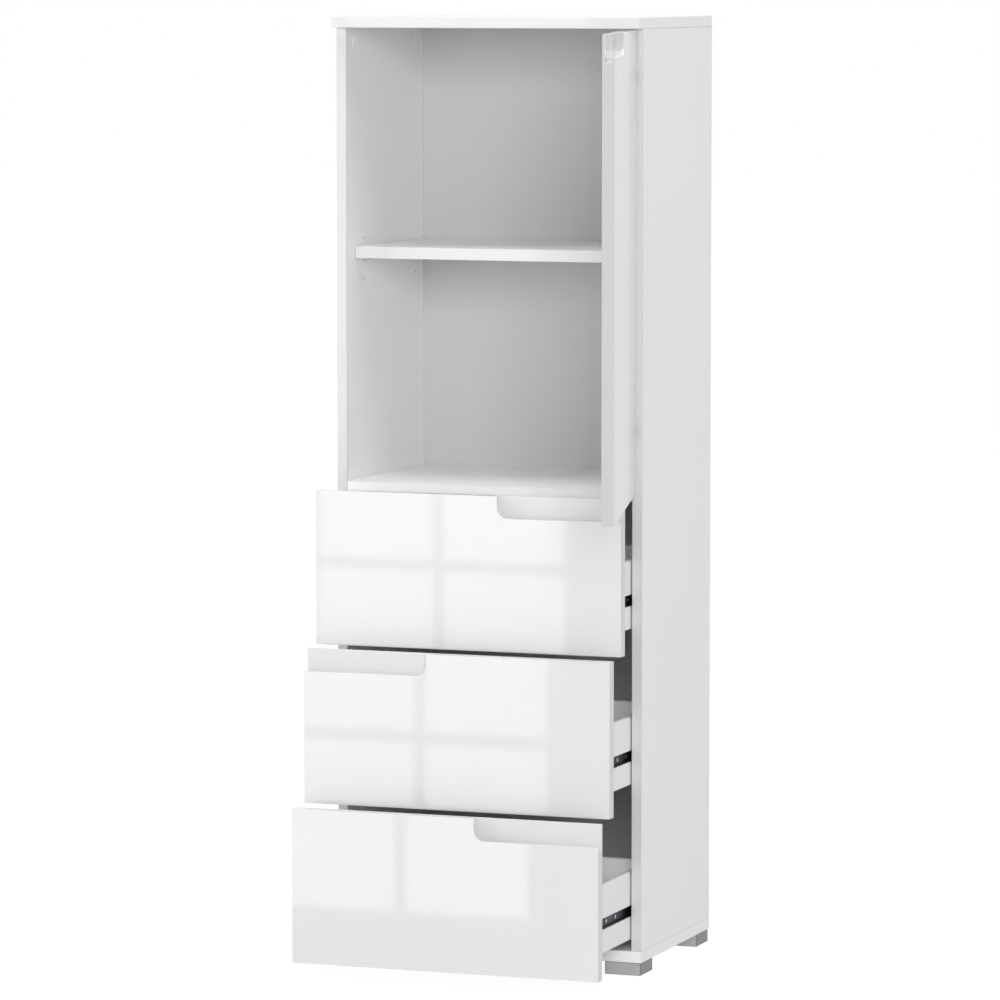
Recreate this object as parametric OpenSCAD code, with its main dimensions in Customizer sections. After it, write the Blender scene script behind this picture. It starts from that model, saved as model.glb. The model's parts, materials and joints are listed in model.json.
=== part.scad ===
// Column cabinet: a door compartment with one loose shelf above three drawers on runners.
// Millimetres. X runs to the right, Y to the back and Z up, from the middle of the four feet on the floor.
// The model stands as photographed: the door is swung open and each drawer is pulled out part of the way.

/* [Cabinet] */
// Width over the two side panels
cabinet_w = 500; // [400:5:600]
// Depth of the side panels, front edge to back
side_d = 336; // [330:2:400]
// Height of the side panels
side_h = 1414; // [1400:2:1600]
// Thickness of the sides and the divider
panel_t = 16; // [15:0.5:19]
// Thickness of the bottom panel, which the sides stand on
bottom_t = 18; // [15:0.5:22]
// Thickness of the top panel
top_t = 17; // [15:0.5:28]
// Thickness of the back panel
back_t = 3; // [2.5:0.5:4]
// How far the back panel laps onto each panel's edge
rebate_w = 8; // [6:0.5:10]
// Gap round the back panel in its rebate
rebate_gap = 0.5; // [0.2:0.1:1]

/* [Feet] */
// Height of a foot
foot_h = 20; // [18:1:40]
// Side of the square foot
foot_w = 58; // [45:1:80]
// How far a foot stands in from the cabinet's edges
foot_inset = 1.5; // [0:0.5:10]
// Radius of the round socket under a foot
socket_r = 6; // [5:0.5:9]
// Depth of that socket, up to the head of the foot's screw
socket_depth = 11; // [10:0.5:12]

/* [Shelf] */
// Thickness of the loose shelf
shelf_t = 18; // [16:0.5:22]
// Setback of the shelf from the side panels' front edges
shelf_setback = 34; // [20:1:60]
// Clear height between the divider and the shelf
shelf_rise = 345.5; // [250:0.5:420]
// Gap beside and behind the shelf
shelf_gap = 1; // [0.5:0.5:2]
// Radius of a shelf pin's hole
pin_hole_r = 2.5; // [2.5:0.25:3]
// Depth of a shelf pin's hole
pin_hole_depth = 10; // [8:0.5:12]
// Distance of the first pin column from the front edge
pin_front = 71; // [60:1:90]
// Distance between the two pin columns
pin_spacing = 224; // [160:32:224]
// Height step between the holes of a column
pin_pitch = 32; // [20:1:40]
// How far a shelf pin stands out of the panel
pin_reach = 8; // [6:0.5:10]

/* [Fronts] */
// Thickness of the door and the drawer fronts
front_t = 19; // [18:0.5:22]
// Gap between two fronts, and behind a closed front
front_gap = 2; // [2:0.5:4]
// Height of one drawer front
front_h = 238.5; // [225:0.5:260]
// Height of the lowest front above the bottom panel's underside
front_lift = 3.5; // [2:0.5:8]
// How much narrower a front is than the cabinet, at each side
front_reveal = 1.5; // [1:0.5:3]
// How far the upper drawer front laps the divider
divider_lap = 10; // [4:0.5:12]

/* [Finger pulls] */
// Length of the recess in a front's upper corner
pull_l = 200; // [120:5:260]
// Height of the recess
pull_h = 34; // [28:1:45]
// Depth of the recess from the front's face
pull_depth = 15; // [12:0.5:16]
// Radius of the recess's inner corner
pull_r = 17; // [8:1:24]
// Thickness of the lip that the fingers pull on
lip_t = 4; // [3:0.5:6]
// Depth of the trough behind the lip
trough_depth = 6; // [4:0.5:9]

/* [Drawers] */
// Height of a drawer's side
box_h = 105; // [90:1:150]
// Thickness of a drawer's side and back
box_t = 12; // [12:0.5:15]
// Radius of their upper edges
box_round = 5; // [1:0.5:5.5]
// Length of a drawer's side
box_l = 310; // [290:5:320]
// Height of a drawer's side above its front's lower edge
box_lift = 32.5; // [20:0.5:60]
// Gap between a drawer's side and the side panel
box_gap = 2; // [1.5:0.1:2.5]
// Thickness of a drawer's base
base_t = 3; // [2.5:0.5:4]
// Height of the base above the sides' lower edges
base_lift = 10; // [8:0.5:16]
// Depth of the groove that holds the base
base_groove = 6; // [4:0.5:7]
// Gap above and beside the base in its groove
base_gap = 0.2; // [0.1:0.1:0.5]
// How far the upper drawer is pulled out
open_1 = 73; // [0:1:220]
// How far the middle drawer is pulled out
open_2 = 124; // [0:1:220]
// How far the lower drawer is pulled out
open_3 = 175; // [0:1:220]
// Full travel of a drawer
travel = 225; // [220:1:226]

/* [Runners] */
// Height of a runner
runner_h = 17; // [17:0.5:20]
// Length of a runner's rails
runner_l = 296; // [280:2:300]
// Depth from the side panel to the bottom of the groove
runner_t = 10; // [10:0.5:11]
// Thickness of the rails' steel
rail_t = 1.2; // [1:0.1:1.5]
// Height of a runner's middle above the drawer side's lower edge
runner_lift = 44; // [40:1:60]
// Setback of the cabinet rail from the side panel's front edge
runner_setback = 3; // [1:0.5:6]
// Radius of a ball
ball_r = 1.45; // [1.2:0.05:1.6]
// Balls in each row of a cage
ball_count = 4; // [3:1:6]
// Length of a ball cage
cage_l = 64; // [50:1:66]
// Free space round a moving runner piece
running_gap = 0.3; // [0.25:0.05:0.4]

/* [Hinges] */
// Radius of a hinge cup
cup_r = 17.5; // [17:0.5:18]
// Depth of a hinge cup
cup_depth = 12.5; // [12:0.1:13]
// Distance of a cup's rim from the door's end
cup_edge = 3.5; // [3:0.5:6]
// Wall of a cup
cup_wall = 0.8; // [0.6:0.1:1]
// Distance of the upper hinge from the door's top
hinge_top = 70; // [60:1:140]
// Distance of the lower hinge from the door's bottom
hinge_bottom = 98; // [80:1:140]
// Angle that the door opens to
door_angle = 105.4; // [90:0.1:106]
// Angle that the hinge link turns back meanwhile
link_angle = 62.3; // [61:0.1:64]
// Distance of the arm's pin from the side panel's inner face
arm_pin_in = 16.7; // [16:0.1:17.5]
// Distance of the arm's pin ahead of the side panel's front edge
arm_pin_out = 5.6; // [5:0.1:6]
// Distance of the cup's pin from the door's end
cup_pin_in = 10.5; // [10:0.1:11]
// Depth of the cup's pin below the door's inner face
cup_pin_deep = 2; // [1.8:0.1:2.5]
// Radius of the hinge pins
hinge_pin_r = 1.25; // [1:0.05:1.5]
// Radial clearance of a hinge pin in its bore
pin_clear = 0.05; // [0.02:0.01:0.1]
// Distance of the mounting plate's screws from the front edge
plate_back = 37; // [34:1:40]

/* [Fittings] */
// Radius of a cam lock
cam_r = 7.5; // [6:0.5:8]
// Depth of a cam lock
cam_depth = 12.5; // [11:0.5:13]
// Radius of the cap over a cam lock in the compartment
cam_cap_r = 9; // [8.5:0.5:10]
// Distance of a cam's middle from the panel that its bolt stands in
cam_in = 24; // [20:1:34]
// Distance of the fittings from a panel's front and back edges
cam_edge = 36; // [30:1:60]
// Radius of a cam bolt
bolt_r = 3; // [2.5:0.25:3.5]
// Radius of a dowel
dowel_r = 4; // [3:0.5:4]
// Depth of a dowel or bolt in the panel's face
peg_depth = 11; // [9:0.5:12]
// Distance of a dowel from its cam bolt
dowel_in = 32; // [25:1:40]
// Radial gap round a cam, dowel, bolt or screw
fit_gap = 0.1; // [0.05:0.01:0.2]
// Number of nails down each side of the back panel
nail_rows = 8; // [4:1:12]

/* [Hidden] */
$fn = 48;
over = 0.1;

side_x = cabinet_w / 2;
inner_x = side_x - panel_t;
front_y = -side_d / 2;
back_y = side_d / 2;
low_z = foot_h;
side_z = low_z + bottom_t;
high_z = side_z + side_h;
open_back_y = back_y - back_t;
// The top reaches out to the faces of the closed fronts
top_front_y = front_y - front_gap - front_t;
divider_z = drawer_z(0) + front_h - divider_lap;
shelf_z = divider_z + panel_t + shelf_rise;
door_z = drawer_z(0) + front_h + front_gap;
door_h = high_z - front_gap - door_z;
front_w = cabinet_w - 2 * front_reveal;
front_x = front_w / 2;
rear_face_y = front_y - front_gap;
foot_mid_x = side_x - foot_inset - foot_w / 2;
foot_mid_y = side_d / 2 - foot_inset - foot_w / 2;
pin_z = shelf_z - pin_hole_r;
pin_ys = [front_y + pin_front, front_y + pin_front + pin_spacing];

// Drawers count from the top: 0, 1 and 2
function drawer_z(i) = low_z + front_lift + (2 - i) * (front_h + front_gap);
opens = [open_1, open_2, open_3];
// The upper and lower drawers have their pull at the right, the middle one at the left
pull_sides = [1, -1, 1];
box_outer_x = inner_x - box_gap;
box_inner_x = box_outer_x - box_t;
function box_z(i) = drawer_z(i) + box_lift;
function runner_z(i) = box_z(i) + runner_lift;
groove_half = runner_h / 2 + running_gap;

// How much shorter a screw or dowel is than its hole
tip_gap = 0.5;
peg_ys = [front_y + cam_edge, back_y - cam_edge];
dowel_ys = [front_y + cam_edge + dowel_in, back_y - cam_edge - dowel_in];

// Nails, shelf pins and foot screws
nail_r = 0.8;
nail_l = 12;
nail_head_r = 1.6;
nail_head_t = 0.8;
nail_end = 60;
nail_x = inner_x + rebate_w / 2;
nail_step = (side_h - 2 * nail_end) / (nail_rows - 1);
nail_zs = [for (k = [0 : nail_rows - 1]) side_z + nail_end + k * nail_step];
pin_collar_t = 0.8 * shelf_gap;
pin_collar_r = pin_hole_r + 1;
foot_screw_r = 2;
foot_screw_in = 12;
foot_head_r = 4;
foot_head_t = 2.5;
// A cam lock's drive hole, and the cap that plugs into it
cam_drive = 0.28;
cam_drive_depth = 2;
cam_cap_t = 0.8;

// A runner's section runs inwards from the side panel's face: u is that depth.
// The cabinet's rail is slim, and stands in the tall one that lines the groove of the drawer's side
function rail_x(u) = inner_x - u;
rail_y0 = front_y + runner_setback;
// Distance of a drawer's rail from the back of its front
rail_end = 2;
rail_reach = 7;
rail_lip_t = 1;
rail_screws = [0.12, 0.5, 0.88] * runner_l;
drawer_rail_screws = [79, 122, runner_l - 36];
rail_screw_r = 1.6;
rail_screw_in = 12;
rail_head_r = 2.5;
rail_head_t = 1.2;
inner_half = runner_h / 2 - rail_lip_t;
ball_z = inner_half - running_gap - ball_r;
slim_half = ball_z - ball_r - running_gap;
cage_t = 0.8;
cage_web_t = 0.6;
cage_web_u = runner_t - rail_t - rail_head_t - 0.4 - cage_web_t;
cage_u = runner_t - rail_reach + 0.2;
ball_u = (cage_u + cage_web_u) / 2 - 0.2;
slim_reach = cage_web_u - 0.5;
// The cage moves half as far as its drawer, and stays between the ends of both rails
cage_y0 = rail_y0 + travel / 2 + rail_end;

// Fittings of a drawer
drawer_screw_r = 1.25;
drawer_screw_in = 3;
drawer_head_r = 3;
back_screw_l = 34;
back_screw_zs = [22, 80];
back_screw_r = 2;
back_head_r = 3.5;
back_head_t = 2;
small_cam_r = 6;
small_cam_depth = 9.5;
small_cam_in = 24;
small_cam_z = 84;
small_bolt_r = 2.5;
small_dowel_r = 3;
small_dowel_z = 22;

// The hinge pins with the door closed, seen from above
arm_pin = [inner_x - arm_pin_in, front_y - arm_pin_out];
cup_pin = [front_x - cup_pin_in, rear_face_y - cup_pin_deep];
cup_x = front_x - cup_edge - cup_r;
hinge_zs = [door_z + hinge_bottom, door_z + door_h - hinge_top];
// The link is cranked, so that it clears the door's corner
link_half = 6;
link_half_t = 2;
link_eye_r = 2.8;
link_crank = 5;
link_dir = (cup_pin - arm_pin) / norm(cup_pin - arm_pin);
link_knee = arm_pin + 0.75 * (cup_pin - arm_pin) + link_crank * [link_dir[1], -link_dir[0]];
// Mounting plate and arm
cheek_t = 2;
plate_y = front_y + plate_back;
plate_t = 4;
plate_front = 20;
plate_rear = 26;
wing_t = 2;
wing_half = 7;
plate_screw_z = 16;
plate_screw_r = 2.2;
plate_screw_in = 11;
plate_head_r = 4;
plate_head_t = 1.5;
arm_in = 16;
arm_wall = 1.5;
arm_half = link_half + running_gap + cheek_t;
arm_front_y = front_y + 2;
arm_back_y = plate_y + plate_rear + 2;
arm_x = inner_x - plate_t - arm_in;
arm_screw_y = arm_back_y - 10;
arm_screw_r = 2;
arm_head_r = 3.5;
nose_r = 3;
press_gap = 0.02;
// Cup
flange_t = 1;
flange_end = 6;
cup_screw_x = cup_x - 9.5;
cup_screw_z = 22.5;
cup_screw_r = 1.6;
cup_screw_in = 11;
cup_head_r = 3.2;
cup_head_t = 1.5;
lug_half = 2.25;
lug_low = arm_half + running_gap;
lug_high = 11;

module box(low, high) {
    translate(low) cube(high - low);
}
// A rod along the direction v from the point p
module rod(p, v, r) {
    translate(p)
        rotate([0, acos(v[2] / norm(v)), atan2(v[1], v[0])])
            cylinder(r = r, h = norm(v));
}
module both_sides() {
    children();
    mirror([1, 0, 0]) children();
}
// A screw with a cross slot: p is the middle of the head's face, v points along the shank
module screw(p, v, shank_r, head_r, head_t) {
    turn = [0, acos(v[2] / norm(v)), atan2(v[1], v[0])];
    translate(p) rotate(turn) difference() {
        union() {
            cylinder(r = head_r, h = head_t);
            cylinder(r = shank_r, h = norm(v));
        }
        for (a = [0, 90])
            rotate(a) translate([-head_r * 0.6, -head_r * 0.12, -over])
                cube([head_r * 1.2, head_r * 0.24, head_t * 0.6 + over]);
    }
}

// A cam lock: p is the middle of its face, v points into the panel, b towards its bolt
module cam(p, v, b, r, depth) {
    difference() {
        rod(p, v * depth, r);
        rod(p + v * depth / 2 + b * (r + over), -b * (r + over), bolt_r + fit_gap);
        rod(p - v * over, v * (cam_drive_depth + over), r * cam_drive);
    }
}
module cam_hole(p, v, r, depth) {
    rod(p - v * over, v * (depth + fit_gap + over), r + fit_gap);
}

// Both ends of a side panel hold cams, for bolts that stand in the top and bottom panels.
// s is 1 at the upper end and -1 at the lower one, and z is that end's height
module end_cams(z, s) {
    for (y = peg_ys)
        cam([inner_x, y, z - s * cam_in], [1, 0, 0], [0, 0, s], cam_r, cam_depth);
}
module end_bolts(z, s) {
    for (y = peg_ys)
        rod([inner_x + cam_depth / 2, y, z - s * cam_in], [0, 0, s * (cam_in + peg_depth)], bolt_r);
}
module end_dowels(z, s) {
    for (y = dowel_ys)
        rod([inner_x + panel_t / 2, y, z - s * (cam_in - tip_gap)],
            [0, 0, s * (cam_in + peg_depth - tip_gap)], dowel_r);
}
// The holes in the side panel's end
module end_holes(z, s) {
    for (y = peg_ys) {
        cam_hole([inner_x, y, z - s * cam_in], [1, 0, 0], cam_r, cam_depth);
        rod([inner_x + cam_depth / 2, y, z - s * cam_in], [0, 0, s * (cam_in + over)], bolt_r + fit_gap);
    }
    for (y = dowel_ys)
        rod([inner_x + panel_t / 2, y, z - s * cam_in], [0, 0, s * (cam_in + over)], dowel_r + fit_gap);
}
// The holes in the panel that lies against it
module peg_holes(z, s) {
    for (y = peg_ys)
        rod([inner_x + cam_depth / 2, y, z - s * over], [0, 0, s * (peg_depth + fit_gap + over)],
            bolt_r + fit_gap);
    for (y = dowel_ys)
        rod([inner_x + panel_t / 2, y, z - s * over], [0, 0, s * (peg_depth + fit_gap + over)],
            dowel_r + fit_gap);
}
// The divider is held from its underside, on bolts that stand in the side panels
module level_cams() {
    for (y = peg_ys)
        cam([inner_x - cam_in, y, divider_z], [0, 0, 1], [1, 0, 0], cam_r, cam_depth);
}
module level_bolts() {
    for (y = peg_ys)
        rod([inner_x - cam_in, y, divider_z + cam_depth / 2], [cam_in + peg_depth, 0, 0], bolt_r);
}
module level_dowels() {
    for (y = dowel_ys)
        rod([inner_x - cam_in, y, divider_z + panel_t / 2], [cam_in + peg_depth, 0, 0], dowel_r);
}
module level_holes() {
    for (y = peg_ys) {
        cam_hole([inner_x - cam_in, y, divider_z], [0, 0, 1], cam_r, cam_depth);
        rod([inner_x - cam_in, y, divider_z + cam_depth / 2], [cam_in + peg_depth + fit_gap, 0, 0],
            bolt_r + fit_gap);
    }
    for (y = dowel_ys)
        rod([inner_x - cam_in - fit_gap, y, divider_z + panel_t / 2],
            [cam_in + peg_depth + 2 * fit_gap, 0, 0], dowel_r + fit_gap);
}

module bottom_panel() {
    color("white") difference() {
        box([-side_x, front_y, low_z], [side_x, back_y, side_z]);
        box([-inner_x - rebate_w, open_back_y, side_z - rebate_w],
            [inner_x + rebate_w, back_y + over, side_z + over]);
        both_sides() peg_holes(side_z, -1);
        for (x = [-1, 1], y = [-1, 1])
            rod([x * foot_mid_x, y * foot_mid_y, low_z - over], [0, 0, foot_screw_in + over],
                foot_screw_r + fit_gap);
    }
}
module divider_panel() {
    color("white") difference() {
        box([-inner_x, front_y, divider_z], [inner_x, open_back_y, divider_z + panel_t]);
        both_sides() level_holes();
    }
}
module top_panel() {
    color("white") difference() {
        box([-side_x, top_front_y, high_z], [side_x, back_y, high_z + top_t]);
        both_sides() peg_holes(high_z, 1);
    }
}

// The side panel that both sides share, drawn as the right one
module side_blank() {
    difference() {
        box([inner_x, front_y, side_z], [side_x, back_y, high_z]);
        box([inner_x - over, open_back_y, side_z - over], [inner_x + rebate_w, back_y + over, high_z + over]);
        end_holes(high_z, 1);
        end_holes(side_z, -1);
        level_holes();
        for (y = pin_ys, k = [-1, 0, 1])
            rod([inner_x - over, y, pin_z + k * pin_pitch], [pin_hole_depth + over, 0, 0], pin_hole_r);
        for (i = [0 : 2], k = rail_screws)
            rod([inner_x - over, rail_y0 + k, runner_z(i)], [rail_screw_in + over, 0, 0],
                rail_screw_r + fit_gap);
        for (z = nail_zs)
            rod([nail_x, open_back_y + over, z], [0, -nail_l, 0], nail_r + fit_gap);
    }
}
module left_side_panel() {
    color("white") mirror([1, 0, 0]) side_blank();
}
module right_side_panel() {
    color("white") difference() {
        side_blank();
        for (z = hinge_zs, k = [-1, 1])
            rod([inner_x - over, plate_y, z + k * plate_screw_z], [plate_screw_in + over, 0, 0],
                plate_screw_r + fit_gap);
    }
}
module back_panel() {
    color("lightgray") difference() {
        box([-inner_x - rebate_w + rebate_gap, open_back_y, side_z - rebate_w + rebate_gap],
            [inner_x + rebate_w - rebate_gap, back_y, high_z]);
        both_sides() for (z = nail_zs) {
            rod([nail_x, open_back_y - over, z], [0, back_t + 2 * over, 0], nail_r + fit_gap);
            rod([nail_x, back_y + over, z], [0, -nail_head_t - over, 0], nail_head_r + fit_gap);
        }
    }
}
module back_panel_nails() {
    color("silver") both_sides() for (z = nail_zs) {
        rod([nail_x, back_y, z], [0, -nail_l, 0], nail_r);
        rod([nail_x, back_y, z], [0, -nail_head_t, 0], nail_head_r);
    }
}
module adjustable_shelf() {
    color("white") box([-inner_x + shelf_gap, front_y + shelf_setback, shelf_z],
        [inner_x - shelf_gap, open_back_y - shelf_gap, shelf_z + shelf_t]);
}
module shelf_pins() {
    color("silver") both_sides() for (y = pin_ys) {
        rod([inner_x - pin_reach, y, pin_z], [pin_reach + pin_hole_depth - tip_gap, 0, 0],
            pin_hole_r - fit_gap);
        rod([inner_x - pin_collar_t, y, pin_z], [pin_collar_t, 0, 0], pin_collar_r);
    }
}

module foot(sx, sy) {
    color("darkgray") difference() {
        translate([sx * foot_mid_x, sy * foot_mid_y, foot_h / 2])
            cube([foot_w, foot_w, foot_h], center = true);
        rod([sx * foot_mid_x, sy * foot_mid_y, -over], [0, 0, socket_depth + over], socket_r);
        rod([sx * foot_mid_x, sy * foot_mid_y, 0], [0, 0, socket_depth + foot_head_t], foot_head_r + fit_gap);
        rod([sx * foot_mid_x, sy * foot_mid_y, 0], [0, 0, foot_h + over], foot_screw_r + fit_gap);
    }
}
module foot_front_left() {
    foot(-1, -1);
}
module foot_front_right() {
    foot(1, -1);
}
module foot_back_left() {
    foot(-1, 1);
}
module foot_back_right() {
    foot(1, 1);
}
module foot_screws() {
    color("silver") for (x = [-1, 1], y = [-1, 1])
        screw([x * foot_mid_x, y * foot_mid_y, socket_depth],
            [0, 0, foot_h - socket_depth + foot_screw_in - tip_gap], foot_screw_r, foot_head_r, foot_head_t);
}
module cam_locks() {
    color("silver") both_sides() {
        end_cams(high_z, 1);
        end_cams(side_z, -1);
        level_cams();
    }
}
module cam_caps() {
    color("white") both_sides() for (y = peg_ys) {
        rod([inner_x - cam_cap_t, y, high_z - cam_in], [cam_cap_t, 0, 0], cam_cap_r);
        rod([inner_x - cam_cap_t, y, high_z - cam_in], [cam_cap_t + cam_drive_depth - tip_gap, 0, 0],
            cam_r * cam_drive - fit_gap);
    }
}
module cam_bolts() {
    color("silver") both_sides() {
        end_bolts(high_z, 1);
        end_bolts(side_z, -1);
        level_bolts();
    }
}
module dowels() {
    color("tan") both_sides() {
        end_dowels(high_z, 1);
        end_dowels(side_z, -1);
        level_dowels();
    }
}

module cabinet_rail(i) {
    z = runner_z(i);
    difference() {
        box([rail_x(slim_reach), rail_y0, z - slim_half],
            [rail_x(0), rail_y0 + runner_l, z + slim_half]);
        box([rail_x(slim_reach) - over, rail_y0 - over, z - slim_half + rail_lip_t],
            [rail_x(rail_t), rail_y0 + runner_l + over, z + slim_half - rail_lip_t]);
        for (k = rail_screws)
            rod([rail_x(rail_t) - over, rail_y0 + k, z], [rail_t + 2 * over, 0, 0],
                rail_screw_r + fit_gap);
    }
}
module upper_cabinet_rails() {
    color("dimgray") both_sides() cabinet_rail(0);
}
module middle_cabinet_rails() {
    color("dimgray") both_sides() cabinet_rail(1);
}
module lower_cabinet_rails() {
    color("dimgray") both_sides() cabinet_rail(2);
}
module cabinet_rail_screws() {
    color("silver") both_sides() for (i = [0 : 2], k = rail_screws)
        screw([rail_x(rail_t + rail_head_t), rail_y0 + k, runner_z(i)],
            [rail_head_t + rail_t + rail_screw_in - tip_gap, 0, 0], rail_screw_r, rail_head_r, rail_head_t);
}

module ball_cage(i) {
    z = runner_z(i);
    y0 = cage_y0 - opens[i] / 2;
    ball_ys = [for (k = [0 : ball_count - 1]) y0 + (k + 0.5) * cage_l / ball_count];
    difference() {
        box([rail_x(cage_web_u + cage_web_t), y0, z - ball_z - cage_t / 2],
            [rail_x(cage_u), y0 + cage_l, z + ball_z + cage_t / 2]);
        box([rail_x(cage_web_u), y0 - over, z - ball_z + cage_t / 2],
            [rail_x(cage_u) + over, y0 + cage_l + over, z + ball_z - cage_t / 2]);
        for (y = ball_ys, s = [-1, 1])
            rod([rail_x(ball_u), y, z + s * ball_z - cage_t], [0, 0, 2 * cage_t], ball_r + fit_gap);
    }
    for (y = ball_ys, s = [-1, 1])
        translate([rail_x(ball_u), y, z + s * ball_z]) sphere(r = ball_r);
}
module drawer_rail(i) {
    z = runner_z(i);
    y0 = rear_face_y - opens[i] + rail_end;
    difference() {
        box([rail_x(runner_t), y0, z - runner_h / 2],
            [rail_x(runner_t - rail_reach), y0 + runner_l, z + runner_h / 2]);
        box([rail_x(runner_t - rail_t), y0 - over, z - inner_half],
            [rail_x(runner_t - rail_reach) + over, y0 + runner_l + over, z + inner_half]);
        for (k = drawer_rail_screws)
            rod([rail_x(runner_t) - over, y0 + k, z], [rail_t + 2 * over, 0, 0],
                drawer_screw_r + fit_gap);
    }
}
// The section of a drawer board with round upper edges
module board_section(h) {
    square([box_t, h - box_round]);
    translate([box_round, 0]) square([box_t - 2 * box_round, h]);
    for (x = [box_round, box_t - box_round])
        translate([x, h - box_round]) circle(r = box_round);
}
// A drawer's right side; the left one is its mirror image
module drawer_side(i) {
    y0 = rear_face_y - opens[i];
    z = box_z(i);
    mid_x = box_outer_x - box_t / 2;
    back_mid_y = y0 + box_l - box_t / 2;
    color("whitesmoke") difference() {
        translate([box_inner_x, y0 + box_l, z]) rotate([90, 0, 0])
            linear_extrude(box_l) board_section(box_h);
        box([rail_x(runner_t), y0 - over, runner_z(i) - groove_half],
            [box_outer_x + over, y0 + box_l + over, runner_z(i) + groove_half]);
        box([box_inner_x - over, y0 - over, z + base_lift],
            [box_inner_x + base_groove, y0 + box_l + over, z + base_lift + base_t + base_gap]);
        for (k = drawer_rail_screws)
            rod([rail_x(runner_t) + over, y0 + rail_end + k, runner_z(i)], [-drawer_screw_in - over, 0, 0],
                drawer_screw_r + fit_gap);
        cam_hole([box_inner_x, y0 + small_cam_in, z + small_cam_z], [1, 0, 0], small_cam_r, small_cam_depth);
        rod([box_inner_x + small_cam_depth / 2, y0 - over, z + small_cam_z], [0, small_cam_in + over, 0],
            small_bolt_r + fit_gap);
        rod([mid_x, y0 - over, z + small_dowel_z], [0, small_cam_in + over, 0], small_dowel_r + fit_gap);
        for (k = back_screw_zs) {
            rod([box_outer_x + over, back_mid_y, z + k], [-box_t - 2 * over, 0, 0], back_screw_r + fit_gap);
            rod([box_outer_x + over, back_mid_y, z + k], [-back_head_t - over, 0, 0], back_head_r + fit_gap);
        }
    }
}
module drawer_back(i) {
    y0 = rear_face_y - opens[i] + box_l - box_t;
    z = box_z(i);
    low = base_lift + base_t + base_gap;
    color("whitesmoke") difference() {
        translate([-box_inner_x, y0, z + low]) rotate([90, 0, 90])
            linear_extrude(2 * box_inner_x) board_section(box_h - low);
        both_sides() for (k = back_screw_zs)
            rod([box_inner_x + over, y0 + box_t / 2, z + k], [-back_screw_l, 0, 0], back_screw_r + fit_gap);
    }
}
module drawer_base(i) {
    y0 = rear_face_y - opens[i];
    half = box_inner_x + base_groove - base_gap;
    color("whitesmoke") box([-half, y0 - base_groove + base_gap, box_z(i) + base_lift],
        [half, y0 + box_l, box_z(i) + base_lift + base_t]);
}
// The outline of the finger pull, from its outer corner at the origin, grown by g
module pull_outline(l, g) {
    r = pull_r + g;
    reach = l + g;
    drop = pull_h + g;
    difference() {
        translate([-reach, -drop]) square([reach + over, drop + over]);
        difference() {
            translate([-reach - over, -drop - over]) square([r + over, r + over]);
            translate([-reach + r, -drop + r]) circle(r = r, $fn = 96);
        }
    }
}
// A front with its lower left corner at the origin, its face at y = 0; s is the pull's side
module front_board(w, h, s) {
    difference() {
        cube([w, front_t, h]);
        translate([w / 2, 0, 0]) mirror([s < 0 ? 1 : 0, 0, 0]) translate([w / 2, 0, h]) {
            rotate([90, 0, 0]) translate([0, 0, -pull_depth]) linear_extrude(pull_depth + over)
                pull_outline(pull_l, 0);
            rotate([90, 0, 0]) translate([0, 0, -pull_depth]) linear_extrude(pull_depth - lip_t)
                pull_outline(pull_l, trough_depth);
        }
    }
}
module drawer_front(i) {
    y0 = rear_face_y - opens[i];
    z = box_z(i);
    color("white") difference() {
        translate([-front_x, y0 - front_t, drawer_z(i)]) front_board(front_w, front_h, pull_sides[i]);
        box([-box_inner_x - base_groove, y0 - base_groove, z + base_lift],
            [box_inner_x + base_groove, y0 + over, z + base_lift + base_t + base_gap]);
        both_sides() {
            rod([box_inner_x + small_cam_depth / 2, y0 + over, z + small_cam_z], [0, -peg_depth - over, 0],
                small_bolt_r + fit_gap);
            rod([box_outer_x - box_t / 2, y0 + over, z + small_dowel_z], [0, -peg_depth - over, 0],
                small_dowel_r + fit_gap);
        }
    }
}
module drawer_rails(i) {
    color("dimgray") both_sides() drawer_rail(i);
}
module drawer_ball_cages(i) {
    color("silver") both_sides() ball_cage(i);
}
module drawer_fittings(i) {
    y0 = rear_face_y - opens[i];
    z = box_z(i);
    color("silver") both_sides() {
        difference() {
            rod([box_inner_x, y0 + small_cam_in, z + small_cam_z], [small_cam_depth, 0, 0], small_cam_r);
            rod([box_inner_x + small_cam_depth / 2, y0, z + small_cam_z], [0, small_cam_in, 0],
                small_bolt_r + fit_gap);
            rod([box_inner_x - over, y0 + small_cam_in, z + small_cam_z], [cam_drive_depth + over, 0, 0],
                small_cam_r * cam_drive);
        }
        rod([box_inner_x + small_cam_depth / 2, y0 - peg_depth + tip_gap, z + small_cam_z],
            [0, peg_depth + small_cam_in - 2 * tip_gap, 0], small_bolt_r);
        rod([box_outer_x - box_t / 2, y0 - peg_depth + tip_gap, z + small_dowel_z],
            [0, peg_depth + small_cam_in - 2 * tip_gap, 0], small_dowel_r);
    }
}
module drawer_screws(i) {
    y0 = rear_face_y - opens[i];
    color("silver") both_sides() {
        for (k = drawer_rail_screws)
            screw([rail_x(runner_t - rail_t - rail_head_t), y0 + rail_end + k, runner_z(i)],
                [-rail_head_t - rail_t - drawer_screw_in + tip_gap, 0, 0],
                drawer_screw_r, drawer_head_r, rail_head_t);
        for (k = back_screw_zs)
            screw([box_outer_x, y0 + box_l - box_t / 2, box_z(i) + k],
                [-back_screw_l - box_t + tip_gap, 0, 0], back_screw_r, back_head_r, back_head_t);
    }
}

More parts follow.
